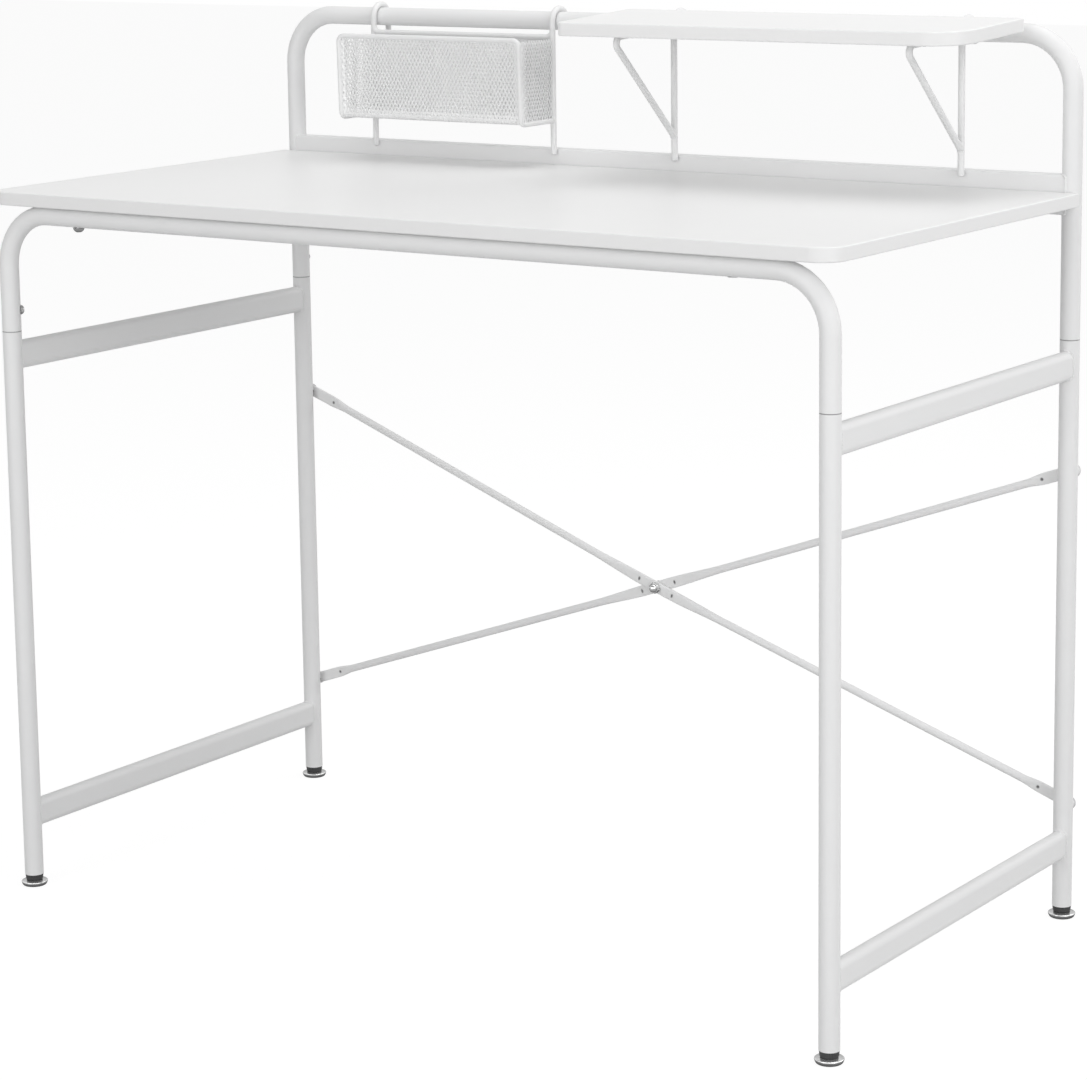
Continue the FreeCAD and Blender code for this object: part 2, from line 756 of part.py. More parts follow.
wire_room = wire_r + mesh_gap
rod_room = basket_rod_r + mesh_gap
fold_room = mesh_thickness / 2 + mesh_gap
lean = front_top - front_bottom
clear_width = basket_span - 2 * wire_room
post_width = basket_span - 2 * rod_room
top_radius = basket_wire_bend - wire_room
rim_room = rim_z - rod_room - basket_bottom
side_top = rear_rail_z - basket_side_drop - basket_bottom
lean_angle = math.atan2(basket_depth_top - basket_depth_bottom, basket_height)
lean_room = wire_room / math.cos(lean_angle)


def side_front(height):
    flare = (basket_depth_top - basket_depth_bottom) * height / basket_height
    return basket_depth_bottom + flare - lean_room


panels = {
    "front": mesh_panel(
        [(0, fold_room), (clear_width, fold_room),
         (clear_width, lean.Length - wire_room), (0, lean.Length - wire_room)],
        [0, 0, top_radius, top_radius],
        front_bottom + along_x * (basket_left + wire_room), along_x, unit(lean)),
    "bottom": mesh_panel(
        [(0, 0), (post_width, 0), (post_width, basket_depth_bottom), (0, basket_depth_bottom)],
        [0, 0, 0, 0],
        front_bottom + along_x * (basket_left + rod_room), along_x, along_y),
    "back": mesh_panel(
        [(0, fold_room), (post_width, fold_room), (post_width, rim_room), (0, rim_room)],
        [0, 0, basket_rim_bend, basket_rim_bend],
        vec(basket_left + rod_room, basket_y, basket_bottom), along_x, along_z),
}
for side_name, x in basket_posts.items():
    panels["side_" + side_name] = mesh_panel(
        [(rod_room, wire_room), (side_front(wire_room), wire_room),
         (side_front(side_top), side_top), (rod_room, side_top)],
        [0, top_radius, 0, 0],
        vec(x, basket_y, basket_bottom), -along_y, along_z)
for panel_name, (panel, gaps) in panels.items():
    nodes["basket_mesh_" + panel_name] = panel
    print("mesh", panel_name, "gaps", gaps)

os.makedirs("parts", exist_ok=True)
for name, shape in nodes.items():
    shape.exportStep("parts/" + name + ".step")
    print(name, len(shape.Solids), "valid" if shape.isValid() else "NOT VALID", round(shape.Volume))
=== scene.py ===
import json
import math
import bmesh
import bpy
from mathutils import Matrix, Vector


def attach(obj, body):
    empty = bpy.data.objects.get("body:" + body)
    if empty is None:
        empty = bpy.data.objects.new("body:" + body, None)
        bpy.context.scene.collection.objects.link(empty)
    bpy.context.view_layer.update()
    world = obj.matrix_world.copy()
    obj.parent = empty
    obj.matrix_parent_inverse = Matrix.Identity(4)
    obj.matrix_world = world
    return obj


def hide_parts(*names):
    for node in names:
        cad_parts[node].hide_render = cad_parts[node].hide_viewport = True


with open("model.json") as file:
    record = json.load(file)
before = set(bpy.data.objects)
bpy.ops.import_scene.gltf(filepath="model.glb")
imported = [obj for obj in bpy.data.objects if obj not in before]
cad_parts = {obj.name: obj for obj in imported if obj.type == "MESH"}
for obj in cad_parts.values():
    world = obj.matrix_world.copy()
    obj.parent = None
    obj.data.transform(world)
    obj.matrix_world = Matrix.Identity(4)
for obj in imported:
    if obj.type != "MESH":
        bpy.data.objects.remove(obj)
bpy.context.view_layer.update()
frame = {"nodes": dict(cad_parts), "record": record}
scene = bpy.context.scene
mm = 0.001
print("frame in:", len(frame["nodes"]), "nodes")


class Sock:
    # one socket of a node tree; arithmetic on it adds Math nodes
    def __init__(self, tree, socket=None):
        self.tree = tree
        self.socket = socket

    @staticmethod
    def pick(sockets, key):
        if isinstance(key, int):
            return sockets[key]
        for sock in sockets:
            if sock.identifier == key:
                return sock
        return sockets[key]

    def node(self, kind, settings=None, inputs=None, out=0):
        made = self.tree.nodes.new(kind)
        for name, value in (settings or {}).items():
            if name == "stops":
                ramp = made.color_ramp.elements
                for place, tone in value[1:-1]:
                    ramp.new(place)
                for stop, (place, tone) in zip(ramp, value):
                    stop.color = (tone, tone, tone, 1)
            else:
                setattr(made, name, value)
        for key, value in (inputs or {}).items():
            target = self.pick(made.inputs, key)
            for item in value if isinstance(value, list) else [value]:
                if isinstance(item, Sock):
                    self.tree.links.new(item.socket, target)
                else:
                    target.default_value = item
        return Sock(self.tree, self.pick(made.outputs, out))

    def math(self, operation, *values):
        return self.node("ShaderNodeMath", {"operation": operation}, dict(enumerate(values)))

    def vector(self, operation, *values, out=0):
        return self.node("ShaderNodeVectorMath", {"operation": operation}, dict(enumerate(values)), out)

    def scaled(self, factor):
        return self.node("ShaderNodeVectorMath", {"operation": "SCALE"}, {0: self, "Scale": factor})

    def xyz(self):
        split = self.node("ShaderNodeSeparateXYZ", None, {0: self}).socket.node
        return [Sock(self.tree, sock) for sock in split.outputs]

    def __add__(self, other):
        return self.math("ADD", self, other)

    def __sub__(self, other):
        return self.math("SUBTRACT", self, other)

    def __rsub__(self, other):
        return self.math("SUBTRACT", other, self)

    def __mul__(self, other):
        return self.math("MULTIPLY", self, other)

    def __truediv__(self, other):
        return self.math("DIVIDE", self, other)

    def __gt__(self, other):
        return self.math("GREATER_THAN", self, other)

    def __lt__(self, other):
        return self.math("LESS_THAN", self, other)

    def __mod__(self, other):
        return self.math("MODULO", self, other)

    def __abs__(self):
        return self.math("ABSOLUTE", self)

    def atLeast(self, other):
        return self.math("MAXIMUM", self, other)


# finishes

def newFinish(name, paint, fixed):
    finish = bpy.data.materials.new(name)
    finish.use_nodes = True
    tree = finish.node_tree
    tree.nodes.clear()
    shader = tree.nodes.new("ShaderNodeBsdfPrincipled")
    last = tree.nodes.new("ShaderNodeOutputMaterial")
    tree.links.new(shader.outputs[0], last.inputs["Surface"])
    for key, value in fixed.items():
        shader.inputs[key].default_value = value
    for key, sock in paint(Sock(tree)).items():
        tree.links.new(sock.socket, shader.inputs[key])
    return finish


def grain(pen, place, scale, detail=2.0, rough=0.5):
    return pen.node("ShaderNodeTexNoise", None,
                    {"Vector": place, "Scale": scale, "Detail": detail, "Roughness": rough})


def between(pen, factor, first, second):
    return pen.node("ShaderNodeMix", {"data_type": "RGBA"},
                    {"Factor_Float": factor, "A_Color": first, "B_Color": second}, "Result_Color")


def stretched(pen, place, scale):
    return pen.node("ShaderNodeMapping", None, {"Vector": place, "Scale": scale})


def reflectionByFacing(pen, stops):
    # painted reflection and shade: tone of a plated surface by how far it faces up, dark facing down and bright facing
    # up, as a studio would mirror in it
    facing = pen.node("ShaderNodeTexCoord", out="Normal").xyz()[2]
    return pen.node("ShaderNodeValToRGB", {"stops": stops}, {0: facing * 0.5 + 0.5})


def bumped(pen, height, strength, distance):
    return pen.node("ShaderNodeBump", None, {"Height": height, "Strength": strength, "Distance": distance})


# the dark colour is painted shade, for the brace's punch marks and the line where the leg tubes meet
coat = {"pale": (0.800, 0.800, 0.800, 1), "shade": (0.755, 0.757, 0.760, 1), "pit": (0.090, 0.090, 0.092, 1),
        "peel": 620.0, "fine": 1922.0, "cloud": 6.0, "mix": (0.75, 0.25), "fineBump": 0.3,
        "roughness": 0.38, "roughSpread": (0.14, 0.08), "bump": (0.05, 0.0004),
        "seam": 601.85 * mm, "seamWide": 0.55 * mm, "seamShade": 0.6}


def powderCoat(pen):
    place = pen.node("ShaderNodeTexCoord", out="Object")
    peel = grain(pen, place, coat["peel"], 2.0, 0.45)
    fine = grain(pen, place, coat["fine"], 1.0)
    cloud = grain(pen, place, coat["cloud"], 3.0)
    # painted shade: punch marks on the brace carry a per-point amount of shade
    pit = pen.node("ShaderNodeAttribute", {"attribute_name": "pit"}, out="Fac")
    # painted shade: a dark line at the height where the leg tubes meet, standing in for the shadow in the gap between
    # them
    seam = abs(place.xyz()[2] - coat["seam"]) < coat["seamWide"]
    paintedShadeAmount = pit.atLeast(seam * coat["seamShade"])
    cloudPart, peelPart = coat["mix"]
    peelRough, cloudRough = coat["roughSpread"]
    white = between(pen, cloud * cloudPart + peel * peelPart, coat["shade"], coat["pale"])
    return {
        # painted shade of the punch marks and the leg seam is mixed into the white
        "Base Color": between(pen, paintedShadeAmount, white, coat["pit"]),
        "Roughness": peel * peelRough + cloud * cloudRough + coat["roughness"],
        "Normal": bumped(pen, peel + fine * coat["fineBump"], *coat["bump"]),
    }


netCoat = {"pale": (0.880, 0.880, 0.880, 1), "shade": (0.830, 0.832, 0.835, 1), "peel": 900.0, "cloud": 24.0,
           "mix": (0.6, 0.4), "roughness": 0.32, "roughSpread": 0.2, "bump": (0.2, 0.0003)}


def netPaint(pen):
    place = pen.node("ShaderNodeTexCoord", out="Object")
    peel = grain(pen, place, netCoat["peel"], 2.0)
    cloud = grain(pen, place, netCoat["cloud"], 3.0)
    cloudPart, peelPart = netCoat["mix"]
    return {
        "Base Color": between(pen, cloud * cloudPart + peel * peelPart, netCoat["shade"], netCoat["pale"]),
        "Roughness": peel * netCoat["roughSpread"] + netCoat["roughness"],
        "Normal": bumped(pen, peel, *netCoat["bump"]),
    }


board = {"pale": (0.830, 0.830, 0.828, 1), "shade": (0.795, 0.795, 0.793, 1), "band": (0.800, 0.800, 0.800, 1),
         "streaks": (2.2, 95.0, 20.0), "pores": (24.0, 900.0, 200.0), "cloud": 3.5, "mix": (0.7, 0.3), "flatFrom": 0.8,
         "roughness": 0.29, "roughSpread": (0.1, 0.08), "streakBump": 0.4, "bump": (0.05, 0.0003)}


def boardFoil(pen):
    # foil with a faint grain on the flat faces, a plain band round the edge
    place = pen.node("ShaderNodeTexCoord", out="Object")
    facing = pen.node("ShaderNodeTexCoord", out="Normal").xyz()[2]
    streak = grain(pen, stretched(pen, place, board["streaks"]), 1.0, 5.0, 0.6)
    pore = grain(pen, stretched(pen, place, board["pores"]), 1.0, 2.0)
    cloud = grain(pen, place, board["cloud"], 3.0)
    flat = abs(facing) > board["flatFrom"]
    streakPart, cloudPart = board["mix"]
    poreRough, streakRough = board["roughSpread"]
    foil = between(pen, streak * streakPart + cloud * cloudPart, board["shade"], board["pale"])
    return {
        "Base Color": between(pen, flat, board["band"], foil),
        "Roughness": pore * poreRough + streak * streakRough + board["roughness"],
        "Normal": bumped(pen, pore * flat + streak * board["streakBump"], *board["bump"]),
    }


# zinc plate: the tones by facing are painted reflection and shade
plate = {"reflectionTones": ((0, 0.10), (0.30, 0.22), (0.46, 0.50), (0.54, 0.30), (0.62, 0.92), (0.78, 0.60), (1, 0.80)),
         "shade": (0.40, 0.405, 0.41, 1), "cloud": 160.0, "fine": 1600.0, "clouding": 0.45,
         "roughness": 0.14, "roughSpread": (0.16, 0.08), "bump": (0.08, 0.0002)}


def zincPlate(pen):
    place = pen.node("ShaderNodeTexCoord", out="Object")
    cloud = grain(pen, place, plate["cloud"], 3.0)
    fine = grain(pen, place, plate["fine"], 2.0)
    cloudRough, fineRough = plate["roughSpread"]
    return {
        # painted reflection: the base colour follows how far the surface faces up
        "Base Color": between(pen, cloud * plate["clouding"], reflectionByFacing(pen, plate["reflectionTones"]), plate["shade"]),
        "Roughness": cloud * cloudRough + fine * fineRough + plate["roughness"],
        "Normal": bumped(pen, fine, *plate["bump"]),
    }


# chrome: the tones by facing are painted reflection and shade, a bright ring on the top bevel and a dark lower edge
chrome = {"reflectionTones": ((0, 0.03), (0.30, 0.05), (0.42, 0.16), (0.56, 0.26), (0.68, 0.48), (0.77, 0.95), (0.90, 0.97),
                    (0.965, 0.80), (1, 0.75)),
          "shade": (0.42, 0.425, 0.43, 1), "cloud": 90.0, "scuffs": (300.0, 300.0, 2600.0), "clouding": 0.3,
          "roughness": 0.13, "roughSpread": (0.1, 0.06), "bump": (0.03, 0.0001)}


def chromePlate(pen):
    place = pen.node("ShaderNodeTexCoord", out="Object")
    cloud = grain(pen, place, chrome["cloud"], 3.0)
    scuff = grain(pen, stretched(pen, place, chrome["scuffs"]), 1.0)
    cloudRough, scuffRough = chrome["roughSpread"]
    return {
        # painted reflection: the base colour follows how far the surface faces up
        "Base Color": between(pen, cloud * chrome["clouding"], reflectionByFacing(pen, chrome["reflectionTones"]), chrome["shade"]),
        "Roughness": cloud * cloudRough + scuff * scuffRough + chrome["roughness"],
        "Normal": bumped(pen, scuff, *chrome["bump"]),
    }


plastic = {"pale": (0.075, 0.075, 0.076, 1), "shade": (0.045, 0.045, 0.046, 1), "spark": 1500.0, "cloud": 80.0,
           "roughness": 0.54, "roughSpread": 0.16, "bump": (0.18, 0.0002)}


def blackPlastic(pen):
    place = pen.node("ShaderNodeTexCoord", out="Object")
    spark = grain(pen, place, plastic["spark"], 2.0)
    cloud = grain(pen, place, plastic["cloud"], 2.0)
    return {
        "Base Color": between(pen, cloud, plastic["shade"], plastic["pale"]),
        "Roughness": spark * plastic["roughSpread"] + plastic["roughness"],
        "Normal": bumped(pen, spark, *plastic["bump"]),
    }


finishes = {
    "white_steel": newFinish("whitePowderCoat", powderCoat, {"IOR": 1.5, "Specular IOR Level": 0.5}),
    "white_mesh": newFinish("whiteNetCoat", netPaint, {"IOR": 1.5}),
    "white_board": newFinish("whiteBoardFoil", boardFoil, {"IOR": 1.48}),
    "plated_steel": newFinish("brightZinc", zincPlate, {"Metallic": 1.0, "Specular Tint": (0.5, 0.5, 0.5, 1)}),
    "black_plastic": newFinish("blackLegPlastic", blackPlastic, {"IOR": 1.47, "Specular IOR Level": 0.2}),
    "chrome": newFinish("footChrome", chromePlate, {"Metallic": 0.85, "Specular Tint": (0.4, 0.4, 0.4, 1)}),
}
slotOf = {row["node"]: row["material_slot"] for row in frame["record"]["subparts"]}
for nodeName, nodeObject in frame["nodes"].items():
    for place in nodeObject.material_slots:
        place.material = finishes[slotOf[nodeName]]
print("finishes on:", len(slotOf), "pieces of the frame")


# mesh and tree helpers

def addPiece(name, mesh, body, slot, stands=()):
    piece = bpy.data.objects.new(name, mesh)
    scene.collection.objects.link(piece)
    if not mesh.materials:
        mesh.materials.append(finishes[slot])
    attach(piece, body)
    if stands:
        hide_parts(*stands)
    return piece


def meshOf(points, edges=(), faces=(), name="draft"):
    mesh = bpy.data.meshes.new(name)
    mesh.from_pydata([tuple(point) for point in points], list(edges), list(faces))
    return mesh


def ringRadius(angle, circle, across, cross):
    # circle radius, held inside a hexagon or a cross where one is given
    radius = circle
    if across:
        turn = (angle + math.pi / 6) % (math.pi / 3) - math.pi / 6
        radius = min(radius, across / math.cos(turn))
    if cross:
        length, width = cross
        side = max(abs(math.cos(angle)), 1e-6)
        rise = max(abs(math.sin(angle)), 1e-6)
        radius = min(radius, max(min(length / side, width / rise), min(length / rise, width / side)))
    return radius


def ringMesh(name, rings, steps=48, loop=False, smoothAngle=38):
    # rings are (height, radius) or (height, radius, hexagon apothem, cross), from the inner end outwards
    work = bmesh.new()
    rows = []
    for ring in rings:
        height, circle, across, cross = (tuple(ring) + (None, None))[:4]
        row = []
        for step in range(steps):
            angle = 2 * math.pi * step / steps
            radius = ringRadius(angle, circle, across, cross)
            row.append(work.verts.new((radius * math.cos(angle), radius * math.sin(angle), height)))
        rows.append(row)
    pairs = list(zip(rows, rows[1:])) + ([(rows[-1], rows[0])] if loop else [])
    for low, high in pairs:
        for step in range(steps):
            after = (step + 1) % steps
            work.faces.new((low[step], low[after], high[after], high[step]))
    if not loop:
        work.faces.new(rows[0][::-1])
        work.faces.new(rows[-1])
    bmesh.ops.remove_doubles(work, verts=work.verts, dist=1e-7)
    bmesh.ops.recalc_face_normals(work, faces=work.faces)
    mesh = bpy.data.meshes.new(name)
    work.to_mesh(mesh)
    work.free()
    mesh.shade_smooth()
    mesh.set_sharp_from_angle(angle=math.radians(smoothAngle))
    return mesh


def domeRings(radius, height, count=7, stop=0.0):
    # dome of a bolt head from its rim up to the top, or to a flat of radius stop
    ball = (radius ** 2 + height ** 2) / (2 * height)
    rings = []
    for step in range(count + 1):
        wide = radius + (stop - radius) * (step / count) ** 0.8
        rings.append((math.sqrt(max(ball ** 2 - wide ** 2, 0)) - ball + height, max(wide, 1e-5)))
    return rings


def openTree(name, sockets):
    tree = bpy.data.node_groups.new(name, "GeometryNodeTree")
    tree.interface.new_socket("Geometry", in_out="INPUT", socket_type="NodeSocketGeometry")
    for label, kind in sockets.items():
        tree.interface.new_socket(label, in_out="INPUT", socket_type="NodeSocket" + kind)
    tree.interface.new_socket("Geometry", in_out="OUTPUT", socket_type="NodeSocketGeometry")
    entry = tree.nodes.new("NodeGroupInput")
    return tree, {sock.name: Sock(tree, sock) for sock in entry.outputs if sock.name}


def closeTree(tree, geometry, finish):
    real = geometry.node("GeometryNodeRealizeInstances", None, {0: geometry})
    painted = real.node("GeometryNodeSetMaterial", None, {0: real, "Material": finish})
    last = tree.nodes.new("NodeGroupOutput")
    tree.links.new(painted.socket, last.inputs[0])


treeOnly = ("bend", "facing", "face", "spin", "twist")


def grow(name, tree, seed, values):
    # runs a tree once on a seed mesh and keeps the result as a plain mesh
    holder = bpy.data.objects.new(name + "Seed", seed)
    scene.collection.objects.link(holder)
    modifier = holder.modifiers.new("grow", "NODES")
    modifier.node_group = tree
    for item in tree.interface.items_tree:
        if item.in_out == "INPUT" and item.name in values:
            modifier[item.identifier] = values[item.name]
    depsgraph = bpy.context.evaluated_depsgraph_get()
    mesh = bpy.data.meshes.new_from_object(holder.evaluated_get(depsgraph), depsgraph=depsgraph)
    mesh.name = name
    holder.modifiers.clear()
    bpy.data.objects.remove(holder)
    for label in treeOnly:
        if label in mesh.attributes:
            mesh.attributes.remove(mesh.attributes[label])
    return mesh


def named(pen, label, kind="FLOAT"):
    return pen.node("GeometryNodeInputNamedAttribute", {"data_type": kind}, {"Name": label})


def giveVectors(mesh, label, vectors):
    layer = mesh.attributes.new(label, "FLOAT_VECTOR", "POINT")
    for item, vector in zip(layer.data, vectors):
        item.vector = vector


def giveFloats(mesh, label, numbers):
    layer = mesh.attributes.new(label, "FLOAT", "POINT")
    for item, number in zip(layer.data, numbers):
        item.value = number


# places shared by the pieces below, in metres
legX, legY, tubeR = 0.489, 0.243, 0.010
sides = {"left": -1, "right": 1}
corners = {"front_left": (-1, -1), "front_right": (1, -1), "rear_left": (-1, 1), "rear_right": (1, 1)}
hanger = {"shelfX": (33.01 * mm, 373.01 * mm), "shelfY": 229.2 * mm, "shelfRod": 3.5 * mm,
          "shelfRear": (225.0 * mm, 907.55 * mm), "slope": math.radians(2.8),
          "basketX": (-364.99 * mm, -122.39 * mm), "basketY": 229.45 * mm, "basketRod": 3.25 * mm,
          "basketWire": 2.75 * mm}


# expanded-metal net of the basket: front, bottom and back are one folded sheet, the sides are flat

net = {"cellWidth": 4.8 * mm, "cellHeight": 8.4 * mm, "strand": 3.1 * mm, "sheet": 0.7 * mm, "tilt": 0.52,
       "foldEase": 12.0 * mm, "low": 798.0 * mm, "wireBend": 7.0 * mm, "frontTop": (164.45 * mm, 888.4 * mm),
       "frontLow": 166.95 * mm, "backTop": 888.4 * mm, "backBend": 5.0 * mm, "sideTop": 887.9 * mm, "rimBend": 8.0 * mm}


def netTree():
    tree, gate = openTree("basketNet", {
        "Columns": "Int", "Rows": "Int", "Cell Width": "Float", "Cell Height": "Float", "Strand": "Float",
        "Sheet": "Float", "Tilt": "Float", "Across": "Vector", "Span": "Float", "Run": "Float",
        "Start Corner": "Float", "End Corner": "Float", "One Sided": "Float", "Lean": "Float", "Fold": "Float",
        "Fold Ease": "Float"})
    pen = Sock(tree)
    route = pen.node("GeometryNodeMeshToCurve", None, {0: gate["Geometry"]})
    route = pen.node("GeometryNodeFilletCurve", {"mode": "POLY"},
                     {0: route, "Count": 8, "Radius": named(pen, "bend"), "Limit Radius": True})
    step = pen.node("ShaderNodeCombineXYZ", None, {"Y": gate["Cell Height"] * 0.5})
    line = pen.node("GeometryNodeMeshLine", None, {"Count": gate["Rows"] + 1, "Offset": step})
    odd = pen.node("GeometryNodeInputIndex") % 2
    swing = odd * gate["Cell Width"] * 0.5
    zig = pen.node("GeometryNodeSetPosition", None,
                   {0: line, "Offset": pen.node("ShaderNodeCombineXYZ", None, {"X": swing})})
    zag = pen.node("GeometryNodeSetPosition", None,
                   {0: line, "Offset": pen.node("ShaderNodeCombineXYZ", None, {"X": 0 - swing})})
    pair = pen.node("GeometryNodeJoinGeometry", None, {0: [zig, zag]})
    columns = pen.node("GeometryNodeMeshLine", None, {
        "Count": gate["Columns"] + 1, "Offset": pen.node("ShaderNodeCombineXYZ", None, {"X": gate["Cell Width"]})})
    strands = pen.node("GeometryNodeInstanceOnPoints", None, {0: columns, "Instance": pair})
    strands = pen.node("GeometryNodeRealizeInstances", None, {0: strands})
    strands = pen.node("GeometryNodeSubdivideMesh", None, {0: strands, "Level": 1})
    u, v = pen.node("GeometryNodeInputPosition").xyz()[:2]
    # cut away what lies past the outline: ends, round corners and the leaning front
    fromMiddle = u - gate["Span"] * 0.5
    reach = gate["One Sided"] * fromMiddle + (1 - gate["One Sided"]) * abs(fromMiddle)
    outside = abs(fromMiddle) > gate["Span"] * 0.5 + gate["Lean"] * v
    for corner, into in ((gate["Start Corner"], gate["Start Corner"] - v),
                         (gate["End Corner"], v - gate["Run"] + gate["End Corner"])):
        offU = (reach - gate["Span"] * 0.5 + corner).atLeast(0)
        offV = into.atLeast(0)
        outside = outside + (offU * offU + offV * offV > corner * corner + 1e-9)
    strands = pen.node("GeometryNodeDeleteGeometry", {"domain": "POINT"}, {0: strands, "Selection": outside})
    spot = pen.node("GeometryNodeSampleCurve", {"mode": "LENGTH"}, {0: route, "Length": v}, "Position")
    along = Sock(tree, spot.socket.node.outputs["Tangent"])
    face = pen.vector("CROSS_PRODUCT", gate["Across"], along)
    strands = pen.node("GeometryNodeStoreNamedAttribute", {"data_type": "FLOAT_VECTOR", "domain": "POINT"},
                       {0: strands, "Name": "face", "Value": face})
    twist = pen.math("MINIMUM", abs(v - gate["Fold"]) / gate["Fold Ease"], 1.0) * gate["Tilt"]
    strands = pen.node("GeometryNodeStoreNamedAttribute", {"data_type": "FLOAT", "domain": "POINT"},
                       {0: strands, "Name": "twist", "Value": twist})
    strands = pen.node("GeometryNodeSetPosition", None, {
        0: strands, "Position": pen.vector("ADD", spot, gate["Across"].scaled(u))})
    wires = pen.node("GeometryNodeMeshToCurve", None, {0: strands})
    # strands of expanded metal stand askew to the sheet, but lie flat where it is folded
    tangent = pen.node("GeometryNodeInputTangent")
    leaning = pen.node("ShaderNodeVectorRotate", {"rotation_type": "AXIS_ANGLE"}, {
        "Vector": named(pen, "face", "FLOAT_VECTOR"), "Axis": tangent, "Angle": named(pen, "twist")})
    wires = pen.node("GeometryNodeSetCurveNormal", {"mode": "FREE"}, {0: wires, "Normal": leaning})
    profile = pen.node("GeometryNodeCurvePrimitiveQuadrilateral", None,
                       {"Width": gate["Sheet"], "Height": gate["Strand"]})
    body = pen.node("GeometryNodeCurveToMesh", None, {0: wires, "Profile Curve": profile, "Fill Caps": True})
    body = pen.node("GeometryNodeSetShadeSmooth", None, {0: body, "Shade Smooth": False})
    closeTree(tree, body, finishes["white_mesh"])
    return tree


def netRun(points, bends):
    # length of the folded line once its corners are rounded
    total = sum((b - a).length for a, b in zip(points, points[1:]))
    for before, at, after, bend in zip(points, points[1:], points[2:], bends):
        turn = math.pi - (before - at).angle(after - at)
        total -= 2 * bend * math.tan(turn / 2) - bend * turn
    return total


def makeNet():
    tree = netTree()
    common = {"Cell Width": net["cellWidth"], "Cell Height": net["cellHeight"], "Strand": net["strand"],
              "Sheet": net["sheet"], "Tilt": net["tilt"], "Fold Ease": net["foldEase"]}
    frontY, frontZ = net["frontTop"]
    left, right = hanger["basketX"]
    backY = hanger["basketY"]
    span = right - left
    fold = [Vector((left, frontY, frontZ)), Vector((left, net["frontLow"], net["low"])),
            Vector((left, backY, net["low"])), Vector((left, backY, net["backTop"]))]
    run = netRun(fold, (net["wireBend"], net["backBend"]))
    turn = math.pi - (fold[0] - fold[1]).angle(fold[2] - fold[1])
    foldAt = (fold[1] - fold[0]).length - net["wireBend"] * (math.tan(turn / 2) - turn / 2)
    seed = meshOf(fold, [(0, 1), (1, 2), (2, 3)])
    giveFloats(seed, "bend", (0, net["wireBend"], net["backBend"], 0))
    mesh = grow("basketNetFold", tree, seed, dict(common, **{
        "Columns": int(span / net["cellWidth"]) + 1, "Rows": int(2 * run / net["cellHeight"]),
        "Across": (1, 0, 0), "Span": span, "Run": run, "Start Corner": net["wireBend"],
        "End Corner": net["rimBend"], "One Sided": 0.0, "Lean": 0.0, "Fold": foldAt}))
    addPiece("basketNetFold", mesh, "basket", "white_mesh",
             ["basket_mesh_front", "basket_mesh_bottom", "basket_mesh_back"])
    rise = net["sideTop"] - net["low"]
    depth = backY - net["frontLow"]
    lean = (net["frontLow"] - frontY) / (frontZ - net["low"])
    for label, x in zip(sides, hanger["basketX"]):
        seed = meshOf([(x, backY, net["low"]), (x, backY, net["sideTop"])], [(0, 1)])
        giveFloats(seed, "bend", (0, 0))
        # no fold on a side, so its place lies far off
        mesh = grow("basketNet" + label.capitalize(), tree, seed, dict(common, **{
            "Columns": int(depth / net["cellWidth"]) + 3, "Rows": int(2 * rise / net["cellHeight"]),
            "Across": (0, -1, 0), "Span": depth, "Run": rise, "Start Corner": net["wireBend"], "End Corner": 0.0,
            "One Sided": 1.0, "Lean": lean, "Fold": -1.0}))
        addPiece("basketNet" + label.capitalize(), mesh, "basket", "white_mesh", ["basket_mesh_side_" + label])


makeNet()
print("basket net done")


# screw and bolt heads, set out on points by one tree

def headTree(slot):
    tree, gate = openTree("boltsOnPoints_" + slot, {"Bolt": "Object"})
    pen = Sock(tree)
    bolt = pen.node("GeometryNodeObjectInfo", None, {0: gate["Bolt"]}, "Geometry")
    turn = pen.node("FunctionNodeAlignRotationToVector", {"axis": "Z"},
                    {"Vector": named(pen, "facing", "FLOAT_VECTOR")})
    turn = pen.node("FunctionNodeRotateRotation", {"rotation_space": "LOCAL"}, {
        0: turn, 1: pen.node("FunctionNodeAxisAngleToRotation", None, {
            "Axis": (0.0, 0.0, 1.0), "Angle": named(pen, "spin")})})
    bolts = pen.node("GeometryNodeInstanceOnPoints", None, {0: gate["Geometry"], "Instance": bolt, "Rotation": turn})
    closeTree(tree, bolts, finishes[slot])
    return tree


headTrees = {}


def setBolts(name, boltMesh, places, body, slot, stands=()):
    # places are (point, facing, spin)
    if slot not in headTrees:
        headTrees[slot] = headTree(slot)
    model = bpy.data.objects.new(name + "Model", boltMesh)
    scene.collection.objects.link(model)
    seed = meshOf([place[0] for place in places])
    giveVectors(seed, "facing", [place[1] for place in places])
    giveFloats(seed, "spin", [place[2] for place in places])
    mesh = grow(name, headTrees[slot], seed, {"Bolt": model})
    bpy.data.objects.remove(model)
    return addPiece(name, mesh, body, slot, stands)


boltShape = {"mouth": 0.62, "tipWide": 0.4, "tipHigh": 0.1, "rimFoot": 0.94, "rimHigh": 0.05, "crossTaper": 0.6}


def socketBolt(name, headWide, headHigh, shankWide, shankLong, socketAcross, socketDeep, cross=None):
    # round head with a hexagon socket or a cross, shank below
    rim = headWide / 2
    rimHigh = headHigh * boltShape["rimHigh"]
    mouth = socketAcross * boltShape["mouth"]
    rings = [(-shankLong, shankWide * boltShape["tipWide"]),
             (-shankLong + shankWide * boltShape["tipHigh"], shankWide / 2), (0, shankWide / 2),
             (0, rim * boltShape["rimFoot"]), (rimHigh, rim)]
    rings += [(height + rimHigh, wide) for height, wide in domeRings(rim, headHigh - rimHigh, 7, mouth)]
    top = rings[-1][0]
    if cross:
        narrow = tuple(size * boltShape["crossTaper"] for size in cross)
        rings += [(top, mouth, None, cross), (top - socketDeep, mouth, None, narrow)]
    else:
        rings += [(top, mouth, socketAcross / 2), (top - socketDeep, mouth, socketAcross / 2)]
    return ringMesh(name, rings)


